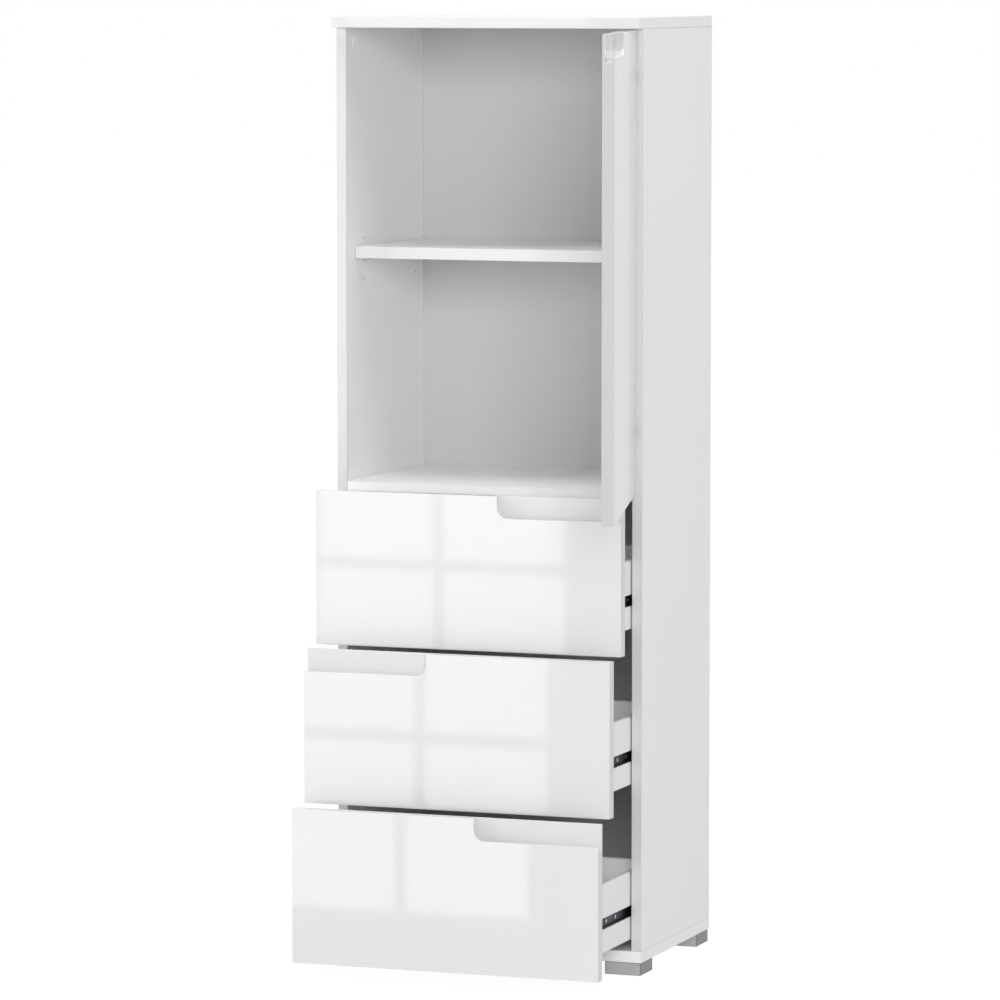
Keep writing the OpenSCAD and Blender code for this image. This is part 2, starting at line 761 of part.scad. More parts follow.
module upper_drawer_front() {
    drawer_front(0);
}
module upper_drawer_left_side() {
    mirror([1, 0, 0]) drawer_side(0);
}
module upper_drawer_right_side() {
    drawer_side(0);
}
module upper_drawer_back() {
    drawer_back(0);
}
module upper_drawer_base() {
    drawer_base(0);
}
module upper_drawer_rails() {
    drawer_rails(0);
}
module upper_drawer_ball_cages() {
    drawer_ball_cages(0);
}
module upper_drawer_fittings() {
    drawer_fittings(0);
}
module upper_drawer_screws() {
    drawer_screws(0);
}
module middle_drawer_front() {
    drawer_front(1);
}
module middle_drawer_left_side() {
    mirror([1, 0, 0]) drawer_side(1);
}
module middle_drawer_right_side() {
    drawer_side(1);
}
module middle_drawer_back() {
    drawer_back(1);
}
module middle_drawer_base() {
    drawer_base(1);
}
module middle_drawer_rails() {
    drawer_rails(1);
}
module middle_drawer_ball_cages() {
    drawer_ball_cages(1);
}
module middle_drawer_fittings() {
    drawer_fittings(1);
}
module middle_drawer_screws() {
    drawer_screws(1);
}
module lower_drawer_front() {
    drawer_front(2);
}
module lower_drawer_left_side() {
    mirror([1, 0, 0]) drawer_side(2);
}
module lower_drawer_right_side() {
    drawer_side(2);
}
module lower_drawer_back() {
    drawer_back(2);
}
module lower_drawer_base() {
    drawer_base(2);
}
module lower_drawer_rails() {
    drawer_rails(2);
}
module lower_drawer_ball_cages() {
    drawer_ball_cages(2);
}
module lower_drawer_fittings() {
    drawer_fittings(2);
}
module lower_drawer_screws() {
    drawer_screws(2);
}

// The link turns about the arm's pin, and the door turns about the cup's pin on the link
module link_turned() {
    translate(arm_pin) rotate(-link_angle) translate(-arm_pin) children();
}
module door_turned() {
    link_turned() translate(cup_pin) rotate(door_angle + link_angle) translate(-cup_pin) children();
}
module hinge_plates() {
    color("silver") for (z = hinge_zs) difference() {
        union() {
            box([inner_x - plate_t, plate_y - plate_front, z - arm_half],
                [inner_x, plate_y + plate_rear, z + arm_half]);
            box([inner_x - wing_t, plate_y - wing_half, z - plate_screw_z - wing_half],
                [inner_x, plate_y + wing_half, z + plate_screw_z + wing_half]);
        }
        for (k = [-1, 1])
            rod([inner_x - wing_t - over, plate_y, z + k * plate_screw_z], [wing_t + 2 * over, 0, 0],
                plate_screw_r + fit_gap);
        rod([inner_x - plate_t - over, arm_screw_y, z], [plate_t + over - tip_gap, 0, 0],
            arm_screw_r + fit_gap);
    }
}
module hinge_plate_screws() {
    color("silver") for (z = hinge_zs) {
        for (k = [-1, 1])
            screw([inner_x - wing_t - plate_head_t, plate_y, z + k * plate_screw_z],
                [plate_head_t + wing_t + plate_screw_in - tip_gap, 0, 0],
                plate_screw_r, plate_head_r, plate_head_t);
        screw([arm_x - plate_head_t, arm_screw_y, z], [plate_head_t + arm_in + plate_t - 2 * tip_gap, 0, 0],
            arm_screw_r, arm_head_r, plate_head_t);
    }
}
module hinge_arms() {
    color("silver") for (z = hinge_zs) difference() {
        union() {
            box([arm_x, arm_front_y, z - arm_half], [inner_x - plate_t, arm_back_y, z + arm_half]);
            translate([0, 0, z - arm_half]) linear_extrude(2 * arm_half) nose_outline();
        }
        box([arm_pin[0] - 2 * nose_r, arm_pin[1] - 2 * nose_r, z - link_half - running_gap],
            [arm_pin[0] + 2 * nose_r, arm_front_y, z + link_half + running_gap]);
        box([arm_x + arm_wall, arm_front_y + arm_wall, z - arm_half + arm_wall],
            [inner_x - plate_t + over, arm_back_y + over, z + arm_half - arm_wall]);
        rod([arm_pin[0], arm_pin[1], z - arm_half - over], [0, 0, 2 * arm_half + 2 * over],
            hinge_pin_r + press_gap);
        rod([arm_x - over, arm_screw_y, z], [arm_wall + 2 * over, 0, 0],
            arm_screw_r + fit_gap);
    }
}
// The arm narrows to a nose that holds the pin ahead of the side panel
module nose_outline() {
    translate(arm_pin) circle(r = nose_r);
    translate([arm_pin[0] - nose_r, arm_pin[1]]) square([2 * nose_r, arm_front_y - arm_pin[1] + over]);
}
module hinge_arm_pins() {
    color("silver") for (z = hinge_zs)
        rod([arm_pin[0], arm_pin[1], z - arm_half], [0, 0, 2 * arm_half], hinge_pin_r);
}
module strip(a, b, half_t) {
    translate(a) rotate(atan2(b[1] - a[1], b[0] - a[0]))
        translate([0, -half_t]) square([norm(b - a), 2 * half_t]);
}
module hinge_links() {
    color("silver") link_turned() for (z = hinge_zs)
        translate([0, 0, z - link_half]) linear_extrude(2 * link_half) difference() {
            union() {
                translate(arm_pin) circle(r = link_eye_r);
                translate(cup_pin) circle(r = link_eye_r);
                translate(link_knee) circle(r = link_half_t);
                strip(arm_pin, link_knee, link_half_t);
                strip(link_knee, cup_pin, link_half_t);
            }
            translate(arm_pin) circle(r = hinge_pin_r + pin_clear);
            translate(cup_pin) circle(r = hinge_pin_r + pin_clear);
        }
}

// The door lies closed in these modules, and door_turned() swings it open
module door_panel() {
    color("white") door_turned() difference() {
        translate([-front_x, rear_face_y - front_t, door_z]) front_board(front_w, door_h, -1);
        for (z = hinge_zs) {
            rod([cup_x, rear_face_y + over, z], [0, -cup_depth - fit_gap - over, 0], cup_r + fit_gap);
            for (k = [-1, 1])
                rod([cup_screw_x, rear_face_y + over, z + k * cup_screw_z], [0, -cup_screw_in - over, 0],
                    cup_screw_r + fit_gap);
        }
    }
}
module hinge_cups() {
    color("silver") door_turned() for (z = hinge_zs) difference() {
        union() {
            difference() {
                union() {
                    rod([cup_x, rear_face_y, z], [0, -cup_depth, 0], cup_r);
                    box([cup_screw_x - flange_end, rear_face_y, z - cup_screw_z - flange_end],
                        [cup_x + flange_end, rear_face_y + flange_t, z + cup_screw_z + flange_end]);
                }
                rod([cup_x, rear_face_y + flange_t + over, z],
                    [0, -cup_depth + cup_wall - flange_t - over, 0], cup_r - cup_wall);
            }
            for (k = [-1, 1])
                box([cup_pin[0] - lug_half, rear_face_y - cup_depth + cup_wall - over,
                        z + (k > 0 ? lug_low : -lug_high)],
                    [cup_pin[0] + lug_half, rear_face_y - 0.2, z + (k > 0 ? lug_high : -lug_low)]);
        }
        rod([cup_pin[0], cup_pin[1], z - lug_high], [0, 0, 2 * lug_high], hinge_pin_r + press_gap);
        for (k = [-1, 1])
            rod([cup_screw_x, rear_face_y + flange_t + over, z + k * cup_screw_z],
                [0, -flange_t - 2 * over, 0], cup_screw_r + fit_gap);
    }
}
module hinge_cup_pins() {
    color("silver") door_turned() for (z = hinge_zs)
        rod([cup_pin[0], cup_pin[1], z - lug_high], [0, 0, 2 * lug_high], hinge_pin_r);
}
module hinge_cup_screws() {
    color("silver") door_turned() for (z = hinge_zs, k = [-1, 1])
        screw([cup_screw_x, rear_face_y + flange_t + cup_head_t, z + k * cup_screw_z],
            [0, -cup_head_t - flange_t - cup_screw_in + tip_gap, 0], cup_screw_r, cup_head_r, cup_head_t);
}

top_panel();
left_side_panel();
right_side_panel();
bottom_panel();
divider_panel();
back_panel();
adjustable_shelf();
foot_front_left();
foot_front_right();
foot_back_left();
foot_back_right();
foot_screws();
shelf_pins();
cam_locks();
cam_caps();
cam_bolts();
dowels();
back_panel_nails();
upper_cabinet_rails();
middle_cabinet_rails();
lower_cabinet_rails();
cabinet_rail_screws();
hinge_plates();
hinge_plate_screws();
hinge_arms();
hinge_arm_pins();
hinge_links();
door_panel();
hinge_cups();
hinge_cup_pins();
hinge_cup_screws();
upper_drawer_front();
upper_drawer_left_side();
upper_drawer_right_side();
upper_drawer_back();
upper_drawer_base();
upper_drawer_rails();
upper_drawer_ball_cages();
upper_drawer_fittings();
upper_drawer_screws();
middle_drawer_front();
middle_drawer_left_side();
middle_drawer_right_side();
middle_drawer_back();
middle_drawer_base();
middle_drawer_rails();
middle_drawer_ball_cages();
middle_drawer_fittings();
middle_drawer_screws();
lower_drawer_front();
lower_drawer_left_side();
lower_drawer_right_side();
lower_drawer_back();
lower_drawer_base();
lower_drawer_rails();
lower_drawer_ball_cages();
lower_drawer_fittings();
lower_drawer_screws();
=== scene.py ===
import bpy
import bmesh
import json
import math
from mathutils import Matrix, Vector

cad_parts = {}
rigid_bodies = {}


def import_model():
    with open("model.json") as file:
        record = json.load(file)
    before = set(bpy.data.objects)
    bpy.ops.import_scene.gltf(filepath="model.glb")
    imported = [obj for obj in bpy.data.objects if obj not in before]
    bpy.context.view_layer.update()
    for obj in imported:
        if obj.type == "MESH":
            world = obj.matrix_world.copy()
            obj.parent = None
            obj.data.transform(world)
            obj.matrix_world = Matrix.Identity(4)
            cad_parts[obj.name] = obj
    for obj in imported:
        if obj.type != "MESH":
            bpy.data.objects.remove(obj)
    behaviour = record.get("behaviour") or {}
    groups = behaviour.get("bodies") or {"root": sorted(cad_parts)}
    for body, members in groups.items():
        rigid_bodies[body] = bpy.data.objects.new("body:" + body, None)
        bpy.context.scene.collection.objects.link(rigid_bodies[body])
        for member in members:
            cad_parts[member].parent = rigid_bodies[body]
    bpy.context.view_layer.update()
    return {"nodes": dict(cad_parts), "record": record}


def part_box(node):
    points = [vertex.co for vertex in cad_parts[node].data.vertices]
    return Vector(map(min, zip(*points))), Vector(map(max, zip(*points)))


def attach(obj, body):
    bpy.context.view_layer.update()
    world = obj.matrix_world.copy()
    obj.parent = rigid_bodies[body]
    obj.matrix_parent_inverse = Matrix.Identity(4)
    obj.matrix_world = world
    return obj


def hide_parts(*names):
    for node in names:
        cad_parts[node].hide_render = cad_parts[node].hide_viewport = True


# clear the start-up scene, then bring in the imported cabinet
for leftover in list(bpy.data.objects):
    bpy.data.objects.remove(leftover, do_unlink=True)
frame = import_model()
nodes = frame["nodes"]
print("frame loaded:", len(nodes), "nodes")


# small helpers

def tone(red, green=None, blue=None):
    # screen values from 0 to 255, turned into linear light; one value makes a grey
    values = [red, red if green is None else green, red if blue is None else blue]
    linear = []
    for value in values:
        share = value / 255
        linear.append(share / 12.92 if share <= 0.04045 else ((share + 0.055) / 1.055) ** 2.4)
    return (*linear, 1.0)


def evenGrey(share):
    # a grey that is already in linear light
    return (share, share, share, 1.0)


def deselectAll():
    if bpy.context.mode != "OBJECT":
        bpy.ops.object.mode_set(mode="OBJECT")
    bpy.ops.object.select_all(action="DESELECT")


def selectOnly(thing):
    deselectAll()
    thing.select_set(True)
    bpy.context.view_layer.objects.active = thing


def feed(tree, target, value):
    # a socket is linked to the target, and a plain value is set on it
    if isinstance(value, bpy.types.NodeSocket):
        tree.links.new(value, target)
    else:
        target.default_value = value


def addNode(tree, kind, place, **values):
    # each value goes to the node's setting of that name, or else to the input of that name
    made = tree.nodes.new(kind)
    made.location = place
    for key, value in values.items():
        if hasattr(made, key):
            setattr(made, key, value)
        else:
            feed(tree, made.inputs[key.replace("_", " ")], value)
    return made


def addStep(tree, kind, place, *terms, **values):
    # a node whose first inputs take the terms in order; its first output comes back
    made = addNode(tree, kind, place, **values)
    for target, term in zip(made.inputs, terms):
        feed(tree, target, term)
    return made.outputs[0]


def addMath(tree, operation, place, *terms, clamp=False):
    return addStep(tree, "ShaderNodeMath", place, *terms, operation=operation, use_clamp=clamp)


def startMaterial(name):
    made = bpy.data.materials.new(name)
    made.use_nodes = True
    made.node_tree.nodes.clear()
    return made, made.node_tree


# patterns that several finishes share

def startGroup(name, inputs, outputs):
    # an empty pattern, with its inputs, its outputs and the coordinates that it reads
    group = bpy.data.node_groups.new(name, "ShaderNodeTree")
    for label, start in inputs.items():
        kind = "NodeSocketVector" if isinstance(start, tuple) else "NodeSocketFloat"
        socket = group.interface.new_socket(label, in_out="INPUT", socket_type=kind)
        socket.default_value = start
    for label in outputs:
        group.interface.new_socket(label, in_out="OUTPUT", socket_type="NodeSocketFloat")
    entry = addNode(group, "NodeGroupInput", (-900, 0))
    leave = addNode(group, "NodeGroupOutput", (700, 0))
    coords = addNode(group, "ShaderNodeTexCoord", (-900, 250))
    return group, entry.outputs, leave.inputs, coords.outputs


def makeGrainPores():
    # short pores pressed into the foil, drawn out along the grain
    group, entry, leave, coords = startGroup(
        "grainPores", {"Stretch": (900.0, 900.0, 40.0), "Cover": 0.5}, ["Height", "Tint"])
    fit = addStep(
        group, "ShaderNodeMapping", (-650, 200), Vector=coords["Object"], Scale=entry["Stretch"])
    pores = addStep(
        group, "ShaderNodeTexNoise", (-420, 250), Vector=fit, Scale=1.0, Detail=2.0, Roughness=0.55)
    bands = addStep(
        group, "ShaderNodeTexNoise", (-420, -50), Vector=fit, Scale=0.11, Detail=3.0, Roughness=0.6)
    cut = addStep(
        group, "ShaderNodeMapRange", (-180, 250), Value=pores,
        From_Min=entry["Cover"], From_Max=0.8)
    half = addMath(group, "MULTIPLY", (-180, -60), cut, 0.5)
    feed(group, leave["Height"], addMath(group, "SUBTRACT", (60, 250), 1.0, cut))
    feed(group, leave["Tint"], addMath(group, "MULTIPLY_ADD", (60, 60), bands, 0.5, half))
    return group


def makeSoftCloud():
    # slow changes across a panel: light handling marks and an uneven sheen
    group, entry, leave, coords = startGroup(
        "softCloud", {"Size": 4.0, "Contrast": 1.0}, ["Cloud"])
    blobs = addStep(
        group, "ShaderNodeTexNoise", (-420, 200), Vector=coords["Object"], Scale=entry["Size"],
        Detail=4.0, Roughness=0.6)
    spread = addMath(group, "SUBTRACT", (-150, 120), blobs, 0.5)
    cloud = addMath(
        group, "MULTIPLY_ADD", (60, 120), spread, entry["Contrast"], 0.5, clamp=True)
    feed(group, leave["Cloud"], cloud)
    return group


def makeLacquerSkin():
    # the slight waviness and dust specks of a sprayed or wrapped gloss skin
    group, entry, leave, coords = startGroup(
        "lacquerSkin", {"Wave": 55.0, "Speck": 1400.0}, ["Height"])
    wave = addStep(
        group, "ShaderNodeTexNoise", (-420, 250), Vector=coords["Object"], Scale=entry["Wave"],
        Detail=1.0, Roughness=0.4)
    speck = addStep(
        group, "ShaderNodeTexNoise", (-420, -50), Vector=coords["Object"], Scale=entry["Speck"],
        Detail=1.0, Roughness=0.5)
    feed(group, leave["Height"], addMath(group, "MULTIPLY_ADD", (60, 120), speck, 0.12, wave))
    return group


def makeBrushLines():
    # fine drawn lines of rolled or brushed metal, with small spots
    group, entry, leave, coords = startGroup(
        "brushLines", {"Stretch": (1500.0, 12.0, 1500.0), "Spots": 350.0}, ["Lines", "Spot Mask"])
    fit = addStep(
        group, "ShaderNodeMapping", (-650, 200), Vector=coords["Object"], Scale=entry["Stretch"])
    lines = addStep(
        group, "ShaderNodeTexNoise", (-420, 250), Vector=fit, Scale=1.0, Detail=3.0, Roughness=0.6)
    spots = addStep(
        group, "ShaderNodeTexNoise", (-420, -50), Vector=coords["Object"], Scale=entry["Spots"],
        Detail=2.0, Roughness=0.5)
    pick = addStep(
        group, "ShaderNodeMapRange", (-150, -50), Value=spots, From_Min=0.5, From_Max=0.75)
    feed(group, leave["Lines"], lines)
    feed(group, leave["Spot Mask"], pick)
    return group


def makeFacingShadeMask():
    # 1 on the faces that look along one direction, where the colour takes painted shade
    group, entry, leave, coords = startGroup(
        "facingMask", {"Direction": (0.0, -1.0, 0.0)}, ["Mask"])
    along = addNode(group, "ShaderNodeVectorMath", (-420, 200), operation="DOT_PRODUCT")
    feed(group, along.inputs[0], coords["Normal"])
    feed(group, along.inputs[1], entry["Direction"])
    mask = addStep(
        group, "ShaderNodeMapRange", (-150, 120), Value=along.outputs["Value"],
        From_Min=0.5, From_Max=0.9)
    feed(group, leave["Mask"], mask)
    return group


grainPores = makeGrainPores()
facingMask = makeFacingShadeMask()
softCloud = makeSoftCloud()
lacquerSkin = makeLacquerSkin()
brushLines = makeBrushLines()
print("patterns ready")


# finishes

def startFinish(name, **shaderValues):
    finish, tree = startMaterial(name)
    shader = addNode(tree, "ShaderNodeBsdfPrincipled", (400, 0), **shaderValues)
    addNode(tree, "ShaderNodeOutputMaterial", (700, 0), Surface=shader.outputs["BSDF"])
    return finish, tree, shader.inputs


def useGroup(tree, group, place, **values):
    return addNode(tree, "ShaderNodeGroup", place, node_tree=group, **values).outputs


def mixTones(tree, mask, first, second, place, blend="MIX"):
    mix = addNode(
        tree, "ShaderNodeMix", place, data_type="RGBA", blend_type=blend,
        Factor=mask, A=first, B=second)
    return mix.outputs["Result"]


def shadeFaces(tree, colour, shades):
    # the faces that look along each direction take a share of the colour, as painted shade
    for step, (direction, share) in enumerate(shades):
        left, high = 150 + 20 * step, 400 + 200 * step
        facing = useGroup(tree, facingMask, (left - 200, high), Direction=direction)
        colour = mixTones(
            tree, facing["Mask"], colour, evenGrey(share), (left, high), "MULTIPLY")
    return colour


def setSurface(tree, surface, colour, roughMask, roughness, height, strength, depth):
    # what every finish does with its patterns: colour, roughness between two ends, and a bump
    low, high = roughness
    feed(tree, surface["Base Color"], colour)
    feed(tree, surface["Roughness"], addStep(
        tree, "ShaderNodeMapRange", (0, 0), Value=roughMask, To_Min=low, To_Max=high))
    feed(tree, surface["Normal"], addStep(
        tree, "ShaderNodeBump", (0, -250), Strength=strength, Distance=depth, Height=height))


glossSkin = {
    "cloudSize": 3.0, "cloudContrast": 1.4, "roughness": (0.26, 0.34), "depth": 0.0004,
    "shader": {"Coat_Roughness": 0.04, "Coat_IOR": 1.5, "IOR": 1.45, "Specular_IOR_Level": 0.12},
}


def makeGloss(name, light, dark, coat, skin):
    finish, tree, surface = startFinish(name, Coat_Weight=coat, **glossSkin["shader"])
    cloud = useGroup(
        tree, softCloud, (-500, 200), Size=glossSkin["cloudSize"],
        Contrast=glossSkin["cloudContrast"])["Cloud"]
    height = useGroup(tree, lacquerSkin, (-500, -200))["Height"]
    colour = mixTones(tree, cloud, tone(dark), tone(light), (0, 200))
    setSurface(
        tree, surface, colour, cloud, glossSkin["roughness"], height, skin, glossSkin["depth"])
    return finish


foilSkin = {
    "cover": 0.52, "cloudSize": 2.5, "cloudContrast": 1.6, "roughness": (0.42, 0.52),
    "depth": 0.00008, "shader": {"IOR": 1.48, "Specular_IOR_Level": 0.45},
}


def makeBoard(name, grain, light, dark, pores, shades=()):
    finish, tree, surface = startFinish(name, **foilSkin["shader"])
    poreMap = useGroup(tree, grainPores, (-500, 200), Stretch=grain, Cover=foilSkin["cover"])
    cloud = useGroup(
        tree, softCloud, (-500, -50), Size=foilSkin["cloudSize"],
        Contrast=foilSkin["cloudContrast"])["Cloud"]
    colour = mixTones(tree, poreMap["Tint"], tone(light), tone(dark), (0, 200))
    colour = shadeFaces(tree, colour, shades)
    setSurface(
        tree, surface, colour, cloud, foilSkin["roughness"], poreMap["Height"], pores,
        foilSkin["depth"])
    return finish


metalDepth = 0.00005


def makeMetal(name, light, dark, drawn, roughness, metal=1.0, lines=0.1, shades=()):
    finish, tree, surface = startFinish(name, Metallic=metal)
    brushed = useGroup(tree, brushLines, (-500, 100), Stretch=drawn)
    colour = mixTones(tree, brushed["Spot Mask"], tone(*light), tone(*dark), (0, 200))
    colour = shadeFaces(tree, colour, shades)
    setSurface(
        tree, surface, colour, brushed["Lines"], roughness, brushed["Lines"], lines, metalDepth)
    return finish


# the white face's greys are darker than the white boards', as painted shade on the back wall
hardboard = {
    "paint": (tone(203), tone(208)), "fibres": (tone(120, 88, 58), tone(158, 122, 86)),
    "fibreScale": 420.0, "roughness": (0.5, 0.8), "strength": 0.12, "depth": 0.0002,
    "shader": {"IOR": 1.45, "Specular_IOR_Level": 0.3},
}


def makeBackBoard():
    # thin hardboard: a white painted face towards the room, bare brown fibres behind
    finish, tree, surface = startFinish("backBoard", **hardboard["shader"])
    coords = addNode(tree, "ShaderNodeTexCoord", (-1000, 300)).outputs
    parts = addNode(tree, "ShaderNodeSeparateXYZ", (-800, 300), Vector=coords["Normal"])
    behind = addMath(tree, "GREATER_THAN", (-600, 300), parts.outputs["Y"], 0.5)
    fibres = addStep(
        tree, "ShaderNodeTexNoise", (-800, 50), Vector=coords["Object"],
        Scale=hardboard["fibreScale"], Detail=4.0, Roughness=0.7)
    brown = mixTones(tree, fibres, *hardboard["fibres"], (-350, 50))
    white = mixTones(tree, fibres, *hardboard["paint"], (-350, -200))
    colour = mixTones(tree, behind, white, brown, (0, 200))
    setSurface(
        tree, surface, colour, behind, hardboard["roughness"], fibres, hardboard["strength"],
        hardboard["depth"])
    return finish


beech = {
    "light": (214, 178, 136), "dark": (176, 134, 92), "grain": (500.0, 500.0, 500.0),
    "cover": 0.45, "strength": 0.2, "depth": 0.0001,
    "shader": {"IOR": 1.45, "Specular_IOR_Level": 0.3, "Roughness": 0.6},
}


def makeBeech():
    finish, tree, surface = startFinish("beechDowel", **beech["shader"])
    pores = useGroup(
        tree, grainPores, (-500, 200), Stretch=beech["grain"], Cover=beech["cover"])
    feed(tree, surface["Base Color"], mixTones(
        tree, pores["Tint"], tone(*beech["light"]), tone(*beech["dark"]), (0, 200)))
    feed(tree, surface["Normal"], addStep(
        tree, "ShaderNodeBump", (0, -250), Strength=beech["strength"], Distance=beech["depth"],
        Height=pores["Height"]))
    return finish


# how far a pattern is squeezed along x, y and z: the smallest number is along the grain
upright = (700.0, 700.0, 26.0)
acrossCabinet = (26.0, 700.0, 700.0)
alongDrawer = (700.0, 30.0, 700.0)
everyWay = (300.0, 300.0, 300.0)
acrossFoot = (60.0, 1200.0, 900.0)

toFront, toRight = (0.0, -1.0, 0.0), (1.0, 0.0, 0.0)

# the gloss parts: two greys, the weight of the clear coat, and how wavy the skin is
glossLooks = {
    "frontGloss": {"light": 224, "dark": 222, "coat": 1.0, "skin": 0.03},
    # the end faces' darker grey: a greyer edge band, darkened further as painted shade
    "frontEnd": {"light": 203, "dark": 201, "coat": 0.5, "skin": 0.03},
    "pullGloss": {"light": 224, "dark": 222, "coat": 0.0, "skin": 0.03},
    "topGloss": {"light": 223, "dark": 221, "coat": 0.7, "skin": 0.03},
    "capPlastic": {"light": 238, "dark": 235, "coat": 0.0, "skin": 0.05},
}
# the foils: two greys, the strength of the pores, and the faces darkened as painted shade
# the greys are lighter and darker copies of one white, as painted light and shade: lighter on the
# left side and inside, darker on the right side
boardLooks = {
    "leftBoard": {
        "grain": upright, "light": 243, "dark": 239, "pores": 0.10, "shades": [(toFront, 0.79)]},
    "rightBoard": {
        "grain": upright, "light": 229, "dark": 225, "pores": 0.10, "shades": [(toFront, 0.87)]},
    "shelfBoard": {
        "grain": acrossCabinet, "light": 250, "dark": 247, "pores": 0.10,
        "shades": [(toFront, 0.79)]},
    "lowBoard": {
        "grain": acrossCabinet, "light": 250, "dark": 246, "pores": 0.10,
        "shades": [(toFront, 0.97), (toRight, 0.83)]},
    "backFoil": {"grain": acrossCabinet, "light": 250, "dark": 247, "pores": 0.05},
    "drawerFoil": {"grain": alongDrawer, "light": 226, "dark": 223, "pores": 0.05},
    # the two corner greys are painted shade on the boards' softened edges, darkest on the side
    # panels
    "edgeJoint": {"grain": everyWay, "light": 192, "dark": 184, "pores": 0.04},
    "paleJoint": {"grain": everyWay, "light": 226, "dark": 220, "pores": 0.04},
}
# the metals and the silver feet: two colours, the roughness between the drawn lines, and on the
# feet the right-facing faces darkened as painted shade
metalLooks = {
    "footSilver": {
        "light": (177, 177, 178), "dark": (167, 167, 168), "drawn": acrossFoot,
        "roughness": (0.4, 0.55), "metal": 0.2, "lines": 0.25, "shades": [(toRight, 0.47)]},
    "footRim": {
        "light": (92, 92, 94), "dark": (80, 80, 82), "drawn": acrossFoot,
        "roughness": (0.4, 0.55), "metal": 0.2, "lines": 0.25},
    "railSteel": {
        "light": (36, 40, 48), "dark": (26, 29, 35), "drawn": (1500.0, 12.0, 1500.0),
        "roughness": (0.3, 0.45), "metal": 0.35},
    "zincPlate": {
        "light": (214, 216, 218), "dark": (196, 199, 203), "drawn": (600.0, 600.0, 600.0),
        "roughness": (0.24, 0.4)},
    "nickelPlate": {
        "light": (212, 209, 204), "dark": (198, 195, 190), "drawn": (900.0, 900.0, 18.0),
        "roughness": (0.14, 0.26)},
}

finishes = {"backBoard": makeBackBoard(), "beechDowel": makeBeech()}
for make, looks in ((makeGloss, glossLooks), (makeBoard, boardLooks), (makeMetal, metalLooks)):
    for name, look in looks.items():
        finishes[name] = make(name, **look)
print("finishes ready")

slotFinish = {
    "gloss_front": "frontGloss", "gloss_top": "topGloss", "white_board": "rightBoard",
    "drawer_board": "drawerFoil", "hardboard": "backBoard", "cap_plastic": "capPlastic",
    "beech": "beechDowel", "foot_plastic": "footSilver", "rail_steel": "railSteel",
    "zinc": "zincPlate", "nickel": "nickelPlate",
}
# nodes whose finish isn't their slot's usual one: lighter or darker copies of the white, as painted
# light and shade
nodeFinish = {
    "left_side_panel": "leftBoard", "divider_panel": "backFoil", "bottom_panel": "lowBoard",
    "adjustable_shelf": "shelfBoard", "upper_drawer_back": "backFoil",
    "middle_drawer_back": "backFoil", "lower_drawer_back": "backFoil",
}
slotOfNode = {part["node"]: part["material_slot"] for part in frame["record"]["subparts"]}
bodyOfNode = {
    node: body for body, members in frame["record"]["behaviour"]["bodies"].items()
    for node in members
}

for node, carried in nodes.items():
    finish = finishes[nodeFinish.get(node, slotFinish[slotOfNode[node]])]
    for place in carried.material_slots:
        place.material = finish
print("finishes laid on the carried nodes")


# boards, fronts and fittings with softened edges

softening = {
    "weld": 0.000004, "flatWithin": 0.4,  # metres and degrees, where triangles become faces
    "sharpFrom": 30, "longFrom": 0.008,  # degrees and metres, from which an edge is softened
    "smoothWithin": 35, "flatWeight": 80,  # degrees and weight of the shading afterwards
    "jointSlot": 1,  # the second finish of a board, on its softened edges
}


def mergedCopy(node, name):
    # a copy of a node with its loose triangles joined into flat faces
    selectOnly(nodes[node])
    bpy.ops.object.duplicate(linked=False)
    piece = bpy.context.view_layer.objects.active
    bpy.ops.object.parent_clear(type="CLEAR_KEEP_TRANSFORM")
    piece.name = name
    piece.data.name = name
    selectOnly(piece)
    bpy.ops.object.mode_set(mode="EDIT")
    bpy.ops.mesh.select_all(action="SELECT")
    bpy.ops.mesh.remove_doubles(threshold=softening["weld"])
    bpy.ops.mesh.dissolve_limited(angle_limit=math.radians(softening["flatWithin"]))
    bpy.ops.mesh.select_all(action="DESELECT")
    return piece


def pickEdges(piece, wanted):
    # in edit mode: select the sharp edges that the test wants, and count them
    shape = bmesh.from_edit_mesh(piece.data)
    shape.select_mode = {"EDGE"}
    bpy.context.tool_settings.mesh_select_mode = (False, True, False)
    sharpFrom = math.radians(softening["sharpFrom"])
    count = 0
    for edge in shape.edges:
        first, second = edge.verts[0].co, edge.verts[1].co
        sharp = len(edge.link_faces) == 2 and edge.calc_face_angle(0) > sharpFrom
        chosen = sharp and wanted(first, second, (first - second).length)
        edge.select_set(chosen)
        count += chosen
    bmesh.update_edit_mesh(piece.data)
    return count


def soften(piece, wanted, width, steps=2, slot=-1):
    # a narrow bevel; slot -1 keeps the finish of the faces beside it
    if pickEdges(piece, wanted):
        bpy.ops.mesh.bevel(
            offset=width, offset_type="OFFSET", segments=steps, profile=0.5, affect="EDGES",
            clamp_overlap=False, material=slot)
    bpy.ops.mesh.select_all(action="DESELECT")


def closeUp(piece, node, smoothWithin=softening["smoothWithin"]):
    # smooth shading that keeps the flats flat, and the piece takes the node's place
    bpy.ops.object.mode_set(mode="OBJECT")
    bpy.ops.object.shade_smooth_by_angle(angle=math.radians(smoothWithin))
    flats = piece.modifiers.new("flats", "WEIGHTED_NORMAL")
    flats.keep_sharp = True
    flats.weight = softening["flatWeight"]
    bpy.ops.object.modifier_apply(modifier=flats.name)
    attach(piece, bodyOfNode[node])
    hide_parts(node)


def paintFaces(piece, finish, wanted):
    # in edit mode: a further finish on the faces that the test wants
    piece.data.materials.append(finish)
    shape = bmesh.from_edit_mesh(piece.data)
    for face in shape.faces:
        if wanted(face.normal, face.calc_center_median()):
            face.material_index = len(piece.data.materials) - 1
    bmesh.update_edit_mesh(piece.data)


def longEdge(first, second, length):
    return length > softening["longFrom"]
